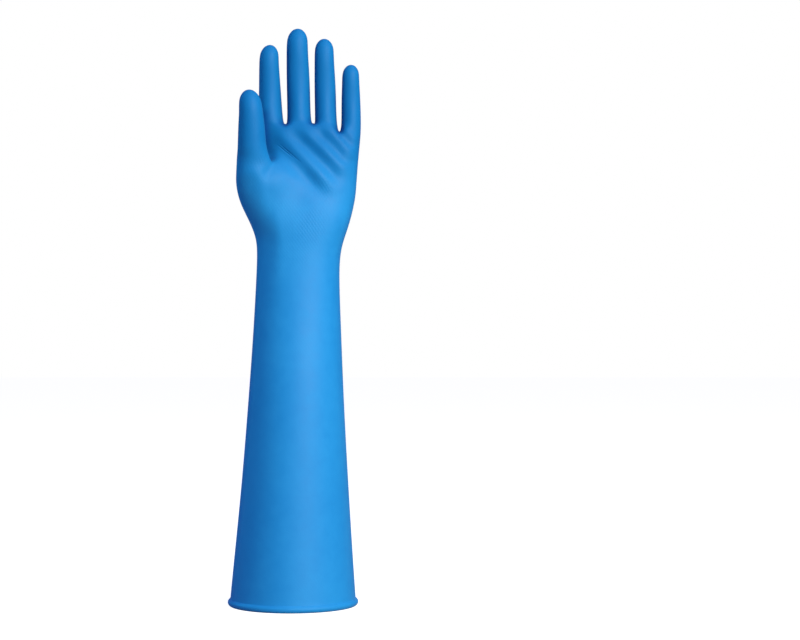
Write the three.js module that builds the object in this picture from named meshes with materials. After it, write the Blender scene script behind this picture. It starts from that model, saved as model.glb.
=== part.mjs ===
// A long-cuff nitrile work glove for the left hand, dipped in one piece and standing on its rolled cuff.
// Millimetres, +Z up: the fingers point up, the palm faces -Y and the thumb is on the -X side.
// The origin is the centre of the cuff's rest face.
//
// The film is one skin. A coarse cage of rings is worked out from the tables below: a sleeve that turns
// into the palm, a thumb that branches off it, and four fingers with a web between each two. The cage is
// eased until its smooth (Catmull-Clark) surface passes through every ring point, and split once. The
// palm's folds are pressed in, and the same skin, set in by the film's thickness, is the inside.
import * as THREE from "three";

// Driving dimensions.
const FILM = 1.0; // thickness of the dipped film
const BLUE = 0x2a8fdc;

// The edge rolled up on itself: the roll's own radius, and where the centre of its section runs.
const ROLL = { radius: 3.5, centreRadius: 59.9, centreHeight: 3.3, sides: 8 };
const FILM_FOOT = 7; // height at which the film leaves the roll

// Sections of the sleeve and the hand, up to where the thumb leaves. left and right are the outline seen
// from the palm side, front and back the depth each way, and square the power of the superellipse.
// behind is the outline's left without the thumb, for the columns behind it, and thenar how far the
// ball of the thumb also lifts the palm beside it.
const SECTIONS = [
  { z: 7, left: -60.9, behind: -60.9, right: 60.9, front: 60.9, back: 60.9, square: 2, thenar: 0 },
  { z: 24, left: -59.4, behind: -59.4, right: 60, front: 59.7, back: 59.7, square: 2, thenar: 0 },
  { z: 60, left: -55.7, behind: -55.7, right: 57.2, front: 56.4, back: 56.4, square: 2, thenar: 0 },
  { z: 100, left: -51.8, behind: -51.8, right: 54.9, front: 53.2, back: 53.2, square: 2, thenar: 0 },
  { z: 140, left: -48.1, behind: -48.1, right: 52.4, front: 49.8, back: 49.8, square: 2, thenar: 0 },
  { z: 180, left: -44.9, behind: -44.9, right: 50.3, front: 46.6, back: 46.6, square: 2, thenar: 0 },
  { z: 220, left: -41.9, behind: -41.9, right: 48.6, front: 42.6, back: 42.6, square: 2, thenar: 0 },
  { z: 260, left: -39.1, behind: -39.1, right: 47, front: 37.6, back: 37.6, square: 2, thenar: 0 },
  { z: 300, left: -36.6, behind: -36.6, right: 45.6, front: 33, back: 32.6, square: 2.05, thenar: 0 },
  { z: 330, left: -35.4, behind: -35.4, right: 45.3, front: 30.8, back: 30, square: 2.15, thenar: 0 },
  { z: 346, left: -35.2, behind: -35.2, right: 47.1, front: 30, back: 29, square: 2.25, thenar: 0 },
  { z: 358, left: -36.8, behind: -36.6, right: 50.4, front: 29.9, back: 28.2, square: 2.3, thenar: 0.7 },
  { z: 370, left: -41, behind: -39, right: 54.3, front: 29.5, back: 27.4, square: 2.4, thenar: 2.6 },
  { z: 382, left: -46.6, behind: -41.2, right: 57.5, front: 28.7, back: 26.6, square: 2.4, thenar: 5 },
  { z: 394, left: -51.2, behind: -42.6, right: 60.1, front: 27.5, back: 25.6, square: 2.4, thenar: 8 },
  { z: 406, left: -53.5, behind: -43, right: 61.4, front: 26.1, back: 24.6, square: 2.45, thenar: 12 },
  { z: 418, left: -53.4, behind: -42.6, right: 62.3, front: 24.3, back: 23.6, square: 2.5, thenar: 12.6 },
  { z: 430, left: -52.6, behind: -41.8, right: 63.2, front: 22, back: 22.4, square: 2.5, thenar: 6 },
];
const THENAR = { x: -24, spread: 19.5 }; // where the lifted strip of palm runs, and its half width

// Heights of the cage's rings up to the thumb.
const SLEEVE_RINGS = [7, 48, 120, 200, 268, 320];
const PALM_RINGS = [346, 360, 373, 386, 398, 409, 419.5, 430];

// Columns of the cage from the front of the index finger round the little finger's side to the back
// and to the thumb's side: sleeve and hand are the turns about the section's centre, in degrees from
// +X, and root and rootZ the place of the column at the roots of the fingers.
const COLUMNS = [
  { name: "index_front", sleeve: 240, hand: 248, root: -20.8, rootZ: 465 },
  { name: "crotch_1_front", sleeve: 255, hand: 258.5, root: -7.4, rootZ: 464 },
  { name: "middle_front", sleeve: 270, hand: 271, root: 6.2, rootZ: 468 },
  { name: "crotch_2_front", sleeve: 285, hand: 285, root: 20.1, rootZ: 464.8 },
  { name: "ring_front", sleeve: 300, hand: 299, root: 32.5, rootZ: 466 },
  { name: "crotch_3_front", sleeve: 315, hand: 314, root: 44.7, rootZ: 457 },
  { name: "little_front", sleeve: 330, hand: 330, root: 55.4, rootZ: 459 },
  { name: "little_corner_front", sleeve: 345, hand: 345, root: 62.6, rootZ: 455 },
  { name: "little_side", sleeve: 360, hand: 360, root: 65.4, rootZ: 454 },
  { name: "little_corner_back", sleeve: 375, hand: 375, root: 62.6, rootZ: 453 },
  { name: "little_back", sleeve: 390, hand: 390, root: 55.4, rootZ: 456 },
  { name: "crotch_3_back", sleeve: 405, hand: 406, root: 44.7, rootZ: 454 },
  { name: "ring_back", sleeve: 420, hand: 421, root: 32.5, rootZ: 463 },
  { name: "crotch_2_back", sleeve: 435, hand: 435, root: 20.1, rootZ: 461.5 },
  { name: "middle_back", sleeve: 450, hand: 449, root: 6.2, rootZ: 465 },
  { name: "crotch_1_back", sleeve: 465, hand: 461.5, root: -7.4, rootZ: 461 },
  { name: "index_back", sleeve: 480, hand: 475, root: -20.8, rootZ: 462 },
  { name: "index_corner_back", sleeve: 495, hand: 492, root: -31.4, rootZ: 459 },
  { name: "index_side", sleeve: 510, hand: 510, root: -35.0, rootZ: 460 },
  { name: "index_corner_front", root: -31.4, rootZ: 461 },
];
const BEHIND_THUMB = 16; // the columns from this one on lie behind the thumb
const THUMB_COLUMNS = 5; // outer columns of the thumb, between the index finger's side and its front
const ROOT_SECTION = { front: 14, back: 13.8, square: 3.4 };
const WEB_HEIGHTS = [468.2, 468.7, 461]; // the middle of the web in each crotch
const HAND_STEPS = [0.2, 0.56]; // rings between the thumb's crotch and the roots of the fingers

// Beside the thumb the palm draws in by depth, growing from x = -from to x = -to.
const DRAWN_IN = { depth: 9, from: 8, to: 32 };

// Where the palm and the thumb part: the crotch runs from the palm to the side of the hand.
const THUMB_CROTCH = {
  front: [-18.8, -28.6, 429],
  middle: [-33.5, -15.5, 432.5],
  side: [-44.5, -5.5, 438.5],
};
const SIDE_DRAWN = [385, 434]; // heights between which the hand's side column is drawn to the crotch
// The ball of the thumb as it leaves the hand: an ellipse. Its ring of points rises to the back.
const THUMB_ROOT = { x: -36.7, y: -27, halfDepth: 14, low: 429, rise: 7 };
const THUMB_RISE = [350, 430]; // heights between which the section's side turns into that ellipse
// Turns of the thumb's first and last column on the way there.
const THUMB_TURNS = [
  { z: 346, first: 165, last: 225 },
  { z: 373, first: 161, last: 232 },
  { z: 386, first: 156.5, last: 243 },
  { z: 398, first: 152, last: 256 },
  { z: 409, first: 148.4, last: 268 },
  { z: 419.5, first: 146, last: 284 },
  { z: 430, first: 145, last: 318 },
];

// Each digit along its length: the centre, width and depth of its section at some heights, and its tip.
const DIGITS = {
  index: [
    { z: 473, x: -21.7, y: -0.3, width: 24.0, depth: 24.6 },
    { z: 500, x: -22.5, y: -1.6, width: 21.3, depth: 20.0 },
    { z: 529, x: -23.0, y: -5.7, width: 18.8, depth: 17.2 },
    { z: 544.4, x: -22.2, y: -6.0, width: 17.4, depth: 13.6 },
  ],
  middle: [
    { z: 474, x: 5.9, y: -0.7, width: 23.2, depth: 25.8 },
    { z: 508, x: 5.1, y: -1.9, width: 22.3, depth: 21.0 },
    { z: 541, x: 4.4, y: -6.5, width: 20.6, depth: 18.4 },
    { z: 560, x: 4.9, y: -7.0, width: 19.2, depth: 14.4 },
  ],
  ring: [
    { z: 473, x: 31.9, y: -0.7, width: 21.2, depth: 24.4 },
    { z: 500, x: 31.3, y: -1.7, width: 20.6, depth: 19.6 },
    { z: 531, x: 30.6, y: -6.0, width: 18.8, depth: 17.0 },
    { z: 550.2, x: 30.6, y: -6.6, width: 17.6, depth: 13.4 },
  ],
  little: [
    { z: 467, x: 56.4, y: -0.3, width: 19.2, depth: 21.0 },
    { z: 488, x: 56.4, y: -1.4, width: 18.4, depth: 17.6 },
    { z: 511, x: 56.2, y: -4.7, width: 16.6, depth: 15.2 },
    { z: 525.2, x: 56.5, y: -4.9, width: 15.6, depth: 12.2 },
  ],
  thumb: [
    { z: 442.5, x: -37.6, y: -31, width: 28.0, depth: 26.4 },
    { z: 454, x: -38.0, y: -33.6, width: 26.4, depth: 25.0 },
    { z: 466, x: -37.9, y: -35.9, width: 24.8, depth: 23.8 },
    { z: 480, x: -38.6, y: -37.8, width: 22.4, depth: 21.2 },
    { z: 497.6, x: -40.0, y: -37.6, width: 20.2, depth: 16.4 },
  ],
};
const DIGIT_RINGS = [0, 0.43, 0.8, 0.98]; // along the digit, from its root to where the tip rounds
const TIP_ROUND = 1.5; // length of the rounded tip as a share of the digit's half width
const TIP_POWER = 2.3; // of the curve that rounds it
const TIP_RINGS = [0.38, 0.71, 0.92]; // rings on the rounded tip, as shares of its length

// Folds of the palm, which run slantwise from the thumb's side down to the little finger's. Each is a
// step seen from the palm side: from one point to the other its middle runs where the palm rises
// steepest from a hollow on the wrist side to a ridge on the fingers' side. It bends aside by sag,
// reach is how far the hollow and the ridge lie from the middle, and height their height. It grows over
// the share fadeIn of its length and dies away over fadeOut.
const FOLDS = [
  { name: "thumb_fold", from: [-25, 464.6], to: [43, 392.9], sag: 0, reach: 6.2, height: 2.5, fadeIn: 0.4, fadeOut: 0.3 },
  { name: "middle_fold", from: [-5, 466], to: [54, 409.5], sag: 2.4, reach: 5.8, height: 2.4, fadeIn: 0.3, fadeOut: 0.25 },
  { name: "ring_fold", from: [22, 466], to: [57, 428], sag: 2, reach: 5, height: 1.7, fadeIn: 0.3, fadeOut: 0.3 },
  { name: "little_fold", from: [44, 465], to: [62, 445], sag: 0, reach: 3.8, height: 1, fadeIn: 0.35, fadeOut: 0.35 },
];

const lerp = THREE.MathUtils.lerp;
const radians = THREE.MathUtils.degToRad;
const smooth = (value, [low, high]) => THREE.MathUtils.smoothstep(value, low, high);

// The row of a table at height z: every numeric column follows a curve through the table's rows.
function rowAt(table, z) {
  const last = table.length - 2;
  const i = Math.max(0, Math.min(last, table.findLastIndex((row) => row.z <= z)));
  const [a, b] = [table[i], table[i + 1]];
  const [before, after] = [table[i - 1] ?? a, table[i + 2] ?? b];
  const step = b.z - a.z;
  const t = (z - a.z) / step;
  const curve = (key) => {
    const slopeA = (b[key] - before[key]) / (b.z - before.z);
    const slopeB = (after[key] - a[key]) / (after.z - a.z);
    const [t2, t3] = [t * t, t * t * t];
    const ends = (2 * t3 - 3 * t2 + 1) * a[key] + (3 * t2 - 2 * t3) * b[key];
    return ends + step * ((t3 - 2 * t2 + t) * slopeA + (t3 - t2) * slopeB);
  };
  return Object.fromEntries(Object.keys(a).map((key) => [key, key === "z" ? z : curve(key)]));
}

// A point of a superellipse section, at a turn in degrees about its centre.
function onSection(section, turn) {
  const { left, right, front, back, square } = section;
  const [c, s] = [Math.cos(radians(turn)), Math.sin(radians(turn))];
  const stretch = (value) => Math.sign(value) * Math.abs(value) ** (2 / square);
  const x = (left + right) / 2 + ((right - left) / 2) * stretch(c);
  return [x, stretch(s) * (s < 0 ? front : back), section.z];
}

// Depth of a superellipse section at x.
function depthAt({ left, right, front, back, square }, x, isFront) {
  const across = Math.min(1, Math.abs((2 * x - left - right) / (right - left)));
  return (isFront ? -front : back) * (1 - across ** square) ** (1 / square);
}

// A point of an upright ellipse.
function onEllipse(x, y, halfWidth, halfDepth, turn, z) {
  return [x + halfWidth * Math.cos(radians(turn)), y + halfDepth * Math.sin(radians(turn)), z];
}

// The 19 columns that end in the fingers, at a height below the thumb's crotch.
function handColumns(z) {
  const section = rowAt(SECTIONS, z);
  const opened = smooth(z, [300, 400]);
  return COLUMNS.slice(0, -1).map(({ sleeve, hand }, k) => {
    const left = k < BEHIND_THUMB ? section.left : section.behind;
    const point = onSection({ ...section, left }, lerp(sleeve, hand, opened));
    const strip = Math.exp(-(((point[0] - THENAR.x) / THENAR.spread) ** 2));
    if (point[1] < 0) point[1] -= section.thenar * strip;
    if (k === COLUMNS.length - 2) {
      const drawn = smooth(z, SIDE_DRAWN);
      point[0] = lerp(point[0], THUMB_CROTCH.side[0], drawn);
      point[1] = lerp(point[1], THUMB_CROTCH.side[1], drawn);
    }
    return point;
  });
}

// The thumb's five outer columns at a height: the section's side, turning into the ball of the thumb.
function thumbColumns(z) {
  const section = rowAt(SECTIONS, z);
  const grown = smooth(z, THUMB_RISE);
  const x = lerp((section.left + section.right) / 2, THUMB_ROOT.x, grown);
  const y = lerp(0, THUMB_ROOT.y, grown);
  const { first, last } = z > THUMB_TURNS[0].z ? rowAt(THUMB_TURNS, z) : THUMB_TURNS[0];
  return Array.from({ length: THUMB_COLUMNS }, (_, k) => {
    const turn = lerp(first, last, k / (THUMB_COLUMNS - 1));
    const behind = Math.sin(radians(turn)) > 0;
    const halfDepth = lerp(behind ? section.back : section.front, THUMB_ROOT.halfDepth, grown);
    return onEllipse(x, y, x - section.left, halfDepth, turn, z);
  });
}

// A cage: ring points, and quads that name them by number.
class Cage {
  points = [];
  quads = [];

  // Adds points and returns their numbers.
  add(points) {
    this.points.push(...points.map((p) => new THREE.Vector3(...p)));
    return points.map((_, k) => this.points.length - points.length + k);
  }

  // Joins two rings whose columns match, the second above the first.
  join(lower, upper) {
    lower.forEach((a, k) => {
      const next = (k + 1) % lower.length;
      this.quads.push([a, lower[next], upper[next], upper[k]]);
    });
  }

  // Closes a ring of eight with four quads about a point.
  close(ring, [tip]) {
    for (let k = 0; k < ring.length; k += 2) {
      this.quads.push([ring[k], ring[k + 1], ring[(k + 2) % ring.length], tip]);
    }
  }

  // Builds a digit up from its root ring, whose first column is at the given turn.
  digit(root, stations, firstTurn) {
    const tip = rowAt(stations, stations.at(-1).z);
    const roundLength = (TIP_ROUND * tip.width) / 2;
    const shoulder = tip.z - roundLength;
    const straight = DIGIT_RINGS.map((share) => ({ z: lerp(stations[0].z, shoulder, share), swell: 1 }));
    const rounded = TIP_RINGS.map((share) => ({
      z: shoulder + share * roundLength,
      swell: Math.sqrt(1 - share ** TIP_POWER),
    }));
    let ring = root;
    for (const { z, swell } of [...straight, ...rounded]) {
      const { x, y, width, depth } = rowAt(stations, z);
      const upper = this.add(
        root.map((_, k) =>
          onEllipse(x, y, (swell * width) / 2, (swell * depth) / 2, firstTurn + 45 * k, z),
        ),
      );
      this.join(ring, upper);
      ring = upper;
    }
    this.close(ring, this.add([[tip.x, tip.y, tip.z]]));
  }
}

// The whole skin's cage. The first ring is the open cuff.
function buildCage() {
  const cage = new Cage();
  let ring;
  for (const z of [...SLEEVE_RINGS, ...PALM_RINGS]) {
    const points = [...handColumns(z), ...thumbColumns(z)];
    if (z === PALM_RINGS.at(-1)) {
      points[0] = THUMB_CROTCH.front;
      points[COLUMNS.length - 2] = THUMB_CROTCH.side;
      points.slice(-THUMB_COLUMNS).forEach((point, k) => {
        point[2] = THUMB_ROOT.low + THUMB_ROOT.rise * (1 - k / (THUMB_COLUMNS - 1));
      });
    }
    const upper = cage.add(points);
    if (ring) cage.join(ring, upper);
    ring = upper;
  }
  const [crotch] = cage.add([THUMB_CROTCH.middle]);
  const side = COLUMNS.length - 2;
  cage.digit([ring[0], crotch, ...ring.slice(side)], DIGITS.thumb, 10);

  // The hand goes on without the thumb, to the roots of the fingers.
  ring = [...ring.slice(0, side + 1), crotch];
  const start = ring.map((number) => cage.points[number]);
  const low = rowAt(SECTIONS, PALM_RINGS.at(-1));
  for (const share of [...HAND_STEPS, 1]) {
    const place = (k) => lerp(start[k].x, COLUMNS[k].root, share);
    const section = {
      left: place(side),
      right: place(COLUMNS.findIndex(({ name }) => name === "little_side")),
      front: lerp(low.front, ROOT_SECTION.front, share),
      back: lerp(low.back, ROOT_SECTION.back, share),
      square: lerp(low.square, ROOT_SECTION.square, share),
    };
    const drawn = DRAWN_IN.depth * Math.min(1, 1.25 * (1 - share));
    const upper = cage.add(
      COLUMNS.map(({ name, rootZ }, k) => {
        const isFront = name.endsWith("front");
        const y = depthAt(section, place(k), isFront);
        const pulled = isFront ? drawn * smooth(-place(k), [DRAWN_IN.from, DRAWN_IN.to]) : 0;
        return [place(k), y + pulled, lerp(start[k].z, rootZ, share)];
      }),
    );
    cage.join(ring, upper);
    ring = upper;
  }

  // Four fingers share the root ring, with a web point in each crotch between them.
  const at = (name) => ring[COLUMNS.findIndex((column) => column.name === name)];
  const webs = cage.add(WEB_HEIGHTS.map((z, k) => [COLUMNS[2 * k + 1].root, 0, z]));
  const fingers = ["index", "middle", "ring", "little"];
  const walls = [at("index_side"), ...webs, at("little_side")];
  const corner = (k, face) => {
    if (k === 0) return at("index_corner_" + face);
    if (k === fingers.length) return at("little_corner_" + face);
    return at("crotch_" + k + "_" + face);
  };
  fingers.forEach((finger, k) => {
    const root = [
      walls[k + 1],
      corner(k + 1, "back"),
      at(finger + "_back"),
      corner(k, "back"),
      walls[k],
      corner(k, "front"),
      at(finger + "_front"),
      corner(k + 1, "front"),
    ];
    cage.digit(root, DIGITS[finger], 0);
  });
  return cage;
}

// Where each point of a mesh of quads ends up on its smooth surface. The first ring is an open edge.
function limitPoints(points, quads, edgeCount) {
  const sides = points.map(() => new THREE.Vector3());
  const corners = points.map(() => new THREE.Vector3());
  const valence = points.map(() => 0);
  for (const quad of quads) {
    quad.forEach((a, k) => {
      sides[a].add(points[quad[(k + 1) % 4]]).add(points[quad[(k + 3) % 4]]);
      corners[a].add(points[quad[(k + 2) % 4]]);
      valence[a] += 1;
    });
  }
  return points.map((point, a) => {
    if (a < edgeCount) {
      const neighbours = points[(a + 1) % edgeCount].clone();
      neighbours.add(points[(a + edgeCount - 1) % edgeCount]);
      return neighbours.addScaledVector(point, 4).divideScalar(6);
    }
    const n = valence[a];
    const sum = point.clone().multiplyScalar(n * n);
    return sum.addScaledVector(sides[a], 2).add(corners[a]).divideScalar(n * (n + 5));
  });
}

// Eases the cage's points until its smooth surface passes through where they started.
function easeToTargets(points, quads, edgeCount, rounds = 12) {
  let eased = points.map((point) => point.clone());
  for (let round = 0; round < rounds; round += 1) {
    const limits = limitPoints(eased, quads, edgeCount);
    eased = eased.map((point, a) => point.clone().add(points[a]).sub(limits[a]));
  }
  return eased;
}

// One Catmull-Clark step: each quad becomes four. The new edge ring comes first, in order.
function subdivide(points, quads, edgeCount) {
  const centres = quads.map((quad) => {
    const sum = new THREE.Vector3();
    quad.forEach((a) => sum.add(points[a]));
    return sum.divideScalar(4);
  });
  const edges = new Map();
  const keyOf = (a, b) => (a < b ? a + "_" + b : b + "_" + a);
  quads.forEach((quad, face) =>
    quad.forEach((a, k) => {
      const b = quad[(k + 1) % 4];
      const edge = edges.get(keyOf(a, b)) ?? { a, b, faces: [] };
      edge.faces.push(face);
      edges.set(keyOf(a, b), edge);
    }),
  );
  const middle = ({ a, b }) => points[a].clone().add(points[b]).multiplyScalar(0.5);

  // Points that were there already.
  const valence = points.map(() => 0);
  const faceSums = points.map(() => new THREE.Vector3());
  const edgeSums = points.map(() => new THREE.Vector3());
  quads.forEach((quad, face) =>
    quad.forEach((a) => {
      faceSums[a].add(centres[face]);
      valence[a] += 1;
    }),
  );
  for (const edge of edges.values()) {
    edgeSums[edge.a].add(middle(edge));
    edgeSums[edge.b].add(middle(edge));
  }
  const moved = points.map((point, a) => {
    const n = valence[a];
    if (a < edgeCount) {
      const neighbours = points[(a + 1) % edgeCount].clone();
      neighbours.add(points[(a + edgeCount - 1) % edgeCount]);
      return neighbours.addScaledVector(point, 6).divideScalar(8);
    }
    const sum = faceSums[a].clone().divideScalar(n);
    sum.addScaledVector(edgeSums[a], 2 / n).addScaledVector(point, n - 3);
    return sum.divideScalar(n);
  });

  // The open edge's points alternate old and new, and the rest follow in any order.
  const fine = [];
  const oldNumber = [];
  const put = (point) => fine.push(point) - 1;
  const edgePoint = (edge) => {
    if (edge.faces.length === 1) return middle(edge);
    const sum = points[edge.a].clone().add(points[edge.b]);
    edge.faces.forEach((face) => sum.add(centres[face]));
    return sum.divideScalar(4);
  };
  for (let a = 0; a < edgeCount; a += 1) {
    oldNumber[a] = put(moved[a]);
    const edge = edges.get(keyOf(a, (a + 1) % edgeCount));
    edge.number = put(edgePoint(edge));
  }
  for (let a = edgeCount; a < points.length; a += 1) oldNumber[a] = put(moved[a]);
  for (const edge of edges.values()) edge.number ??= put(edgePoint(edge));
  const fineQuads = quads.flatMap((quad, face) => {
    const centre = put(centres[face]);
    const between = (k) => edges.get(keyOf(quad[k], quad[(k + 1) % 4])).number;
    return quad.map((a, k) => [oldNumber[a], between(k), centre, between((k + 3) % 4)]);
  });
  return { points: fine, quads: fineQuads, edgeCount: 2 * edgeCount };
}

// Unit normals of a mesh of quads, facing out.
function normalsOf(points, quads) {
  const normals = points.map(() => new THREE.Vector3());
  for (const [a, b, c, d] of quads) {
    const normal = points[c].clone().sub(points[a]);
    normal.cross(points[d].clone().sub(points[b]));
    [a, b, c, d].forEach((number) => normals[number].add(normal));
  }
  return normals.map((normal) => normal.normalize());
}

// How far the folds lift a point of the palm.
function foldLift({ x, z }) {
  let lift = 0;
  for (const { from, to, sag, reach, height, fadeIn, fadeOut } of FOLDS) {
    const [alongX, alongZ] = [to[0] - from[0], to[1] - from[1]];
    const length = Math.hypot(alongX, alongZ);
    const share = ((x - from[0]) * alongX + (z - from[1]) * alongZ) / length ** 2;
    if (share <= 0 || share >= 1) continue;
    const bow = 4 * sag * share * (1 - share);
    const aside = ((z - from[1]) * alongX - (x - from[0]) * alongZ) / length - bow;
    const fade = smooth(share, [0, fadeIn]) * smooth(1 - share, [0, fadeOut]);
    lift += height * fade * (aside / reach) * Math.exp(0.5 - 0.5 * (aside / reach) ** 2);
  }
  return lift;
}

// Presses the folds into the palm side of the skin.
function pressFolds(points, quads) {
  const normals = normalsOf(points, quads);
  return points.map((point, a) => {
    const facing = smooth(-normals[a].y, [0.3, 0.8]);
    return point.clone().addScaledVector(normals[a], foldLift(point) * facing);
  });
}

// The rolled edge, from the film's outer foot round under the roll to its inner foot: rings of points.
function rollRings(count) {
  const { radius, centreRadius, centreHeight, sides } = ROLL;
  const flat = Math.sqrt(radius ** 2 - centreHeight ** 2);
  const profile = [];
  for (let k = 1; k < sides; k += 1) {
    const turn = radians(90 - (360 * k) / sides);
    const height = centreHeight + radius * Math.sin(turn);
    if (height > 0) profile.push([centreRadius + radius * Math.cos(turn), height]);
    else profile.push([centreRadius + flat, 0], [centreRadius - flat, 0]);
  }
  return profile.map(([r, z]) =>
    Array.from({ length: count }, (_, k) => {
      const turn = radians(COLUMNS[0].sleeve + (360 * k) / count);
      return new THREE.Vector3(r * Math.cos(turn), r * Math.sin(turn), z);
    }),
  );
}

// The glove's one closed wall: the outer skin, the roll and the inner skin.
function gloveGeometry() {
  const cage = buildCage();
  const cuffCount = COLUMNS.length - 1 + THUMB_COLUMNS;
  const eased = easeToTargets(cage.points, cage.quads, cuffCount);
  const { points, quads, edgeCount } = subdivide(eased, cage.quads, cuffCount);
  const skin = pressFolds(limitPoints(points, quads, edgeCount), quads);
  const normals = normalsOf(skin, quads);
  const inner = skin.map((point, a) => point.clone().addScaledVector(normals[a], -FILM));

  // The film's feet stand on circles, so that the roll is round.
  for (let k = 0; k < edgeCount; k += 1) {
    const turn = radians(COLUMNS[0].sleeve + (360 * k) / edgeCount);
    const outside = SECTIONS[0].right;
    skin[k].set(outside * Math.cos(turn), outside * Math.sin(turn), FILM_FOOT);
    inner[k].set((outside - FILM) * Math.cos(turn), (outside - FILM) * Math.sin(turn), FILM_FOOT);
  }

  // Each quad is split along the diagonal that runs more nearly along a fold.
  const all = [...skin, ...inner];
  const lift = skin.map(foldLift);
  const faces = quads.flatMap((quad) => {
    const [p, q, r, t] = quad.map((number) => lift[number]);
    const [a, b, c, d] = Math.abs(p - r) > Math.abs(q - t) ? [...quad.slice(1), quad[0]] : quad;
    const [e, f, g, h] = [a, b, c, d].map((number) => number + skin.length);
    return [a, b, c, a, c, d, e, g, f, e, h, g];
  });
  const numbers = (first) => Array.from({ length: edgeCount }, (_, k) => first + k);
  let upper = numbers(0);
  const bridge = (lower) => {
    upper.forEach((a, k) => {
      const next = (k + 1) % edgeCount;
      faces.push(lower[k], lower[next], upper[next], lower[k], upper[next], a);
    });
    upper = lower;
  };
  for (const ring of rollRings(edgeCount)) {
    const first = all.push(...ring) - edgeCount;
    bridge(numbers(first));
  }
  bridge(numbers(skin.length));

  const geometry = new THREE.BufferGeometry().setFromPoints(all);
  geometry.setIndex(faces);
  geometry.computeVertexNormals();
  return geometry;
}

const nitrile = new THREE.MeshStandardMaterial({ color: BLUE, roughness: 0.5, metalness: 0 });
const glove = new THREE.Mesh(gloveGeometry(), nitrile);
glove.name = "glove";

const root = new THREE.Group();
root.add(glove);
export default root;
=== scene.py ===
"""A long-cuff nitrile work glove for the left hand, standing on its rolled cuff.

The glove is one film, dipped on a former. Its skin is a cage of rings worked out from the tables
of the sleeve, the thumb and the fingers, eased until its smooth surface passes through every ring
point, and then split finely. The folds of the palm are pressed into the skin, and the same skin
set in by the film's thickness is the inside. The cuff's edge is a profile carried round a circle.

The tables are in millimetres and degrees. Meshes, the camera and the lights are in metres.
"""

from __future__ import annotations

import logging
import math
from dataclasses import dataclass, field
from enum import Enum

import bpy
import numpy as np
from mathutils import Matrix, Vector


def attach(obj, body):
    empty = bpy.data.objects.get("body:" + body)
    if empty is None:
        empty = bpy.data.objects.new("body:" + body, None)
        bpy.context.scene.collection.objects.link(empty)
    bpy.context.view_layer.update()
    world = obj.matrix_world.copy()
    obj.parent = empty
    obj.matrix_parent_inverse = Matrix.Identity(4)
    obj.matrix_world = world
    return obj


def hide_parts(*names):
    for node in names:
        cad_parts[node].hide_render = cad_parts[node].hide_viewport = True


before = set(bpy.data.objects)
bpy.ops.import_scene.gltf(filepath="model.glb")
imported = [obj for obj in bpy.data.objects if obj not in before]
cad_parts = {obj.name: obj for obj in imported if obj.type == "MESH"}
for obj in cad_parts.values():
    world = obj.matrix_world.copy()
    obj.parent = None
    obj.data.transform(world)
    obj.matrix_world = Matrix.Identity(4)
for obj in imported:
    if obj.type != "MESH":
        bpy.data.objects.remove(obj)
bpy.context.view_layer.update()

LOG = logging.getLogger("glove")
METRES = 0.001
Array = np.ndarray
Material = bpy.types.Material
Node = bpy.types.Node
Object = bpy.types.Object
Socket = bpy.types.NodeSocket


class Face(Enum):
    """The side of the hand that a column of the skin runs on."""

    PALM = "palm"
    BACK = "back"
    EDGE = "edge"


def smooth(value: Array | float, low: float, high: float) -> Array:
    """Steps smoothly from 0 at low to 1 at high, as 3t squared minus 2t cubed."""
    t = np.clip((np.asarray(value, float) - low) / (high - low), 0.0, 1.0)
    return t * t * (3.0 - 2.0 * t)


def mix(a: Array | float, b: Array | float, share: Array | float) -> Array:
    """The point that lies share of the way from a to b."""
    return np.asarray(a, float) + (np.asarray(b, float) - np.asarray(a, float)) * share


@dataclass(frozen=True)
class Table:
    """Rows of sizes at rising heights, read as smooth curves.

    Args:
        names: the columns' names, the first of them z.
        rows: one row for each height.
    """

    names: tuple[str, ...]
    rows: tuple[tuple[float, ...], ...]

    def at(self, z: float) -> dict[str, float]:
        """Reads every column at a height.

        Between two rows each column follows the cubic through both, whose slope at a row is the
        straight slope between the rows on either side of it.

        Args:
            z: the height.

        Returns:
            The column names with their values there.
        """
        data = np.array(self.rows)
        i = int(np.clip(np.searchsorted(data[:, 0], z, side="right") - 1, 0, len(data) - 2))
        a, b = data[i], data[i + 1]
        before, after = data[max(i - 1, 0)], data[min(i + 2, len(data) - 1)]
        step = b[0] - a[0]
        t = (z - a[0]) / step
        slope_a = (b - before) / (b[0] - before[0])
        slope_b = (after - a) / (after[0] - a[0])
        values = (2 * t**3 - 3 * t**2 + 1) * a + (3 * t**2 - 2 * t**3) * b
        values += step * ((t**3 - 2 * t**2 + t) * slope_a + (t**3 - t**2) * slope_b)
        return dict(zip(self.names, values)) | {"z": z}


@dataclass(frozen=True)
class Column:
    """A column of the skin, from the cuff to the root of the fingers.

    Args:
        name: what it runs to.
        face: the side of the hand.
        sleeve: its turn about the sleeve, from +X.
        hand: its turn about the hand.
        root: its x at the roots of the fingers.
        root_z: its height there.
    """

    name: str
    face: Face
    sleeve: float
    hand: float
    root: float
    root_z: float


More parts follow.
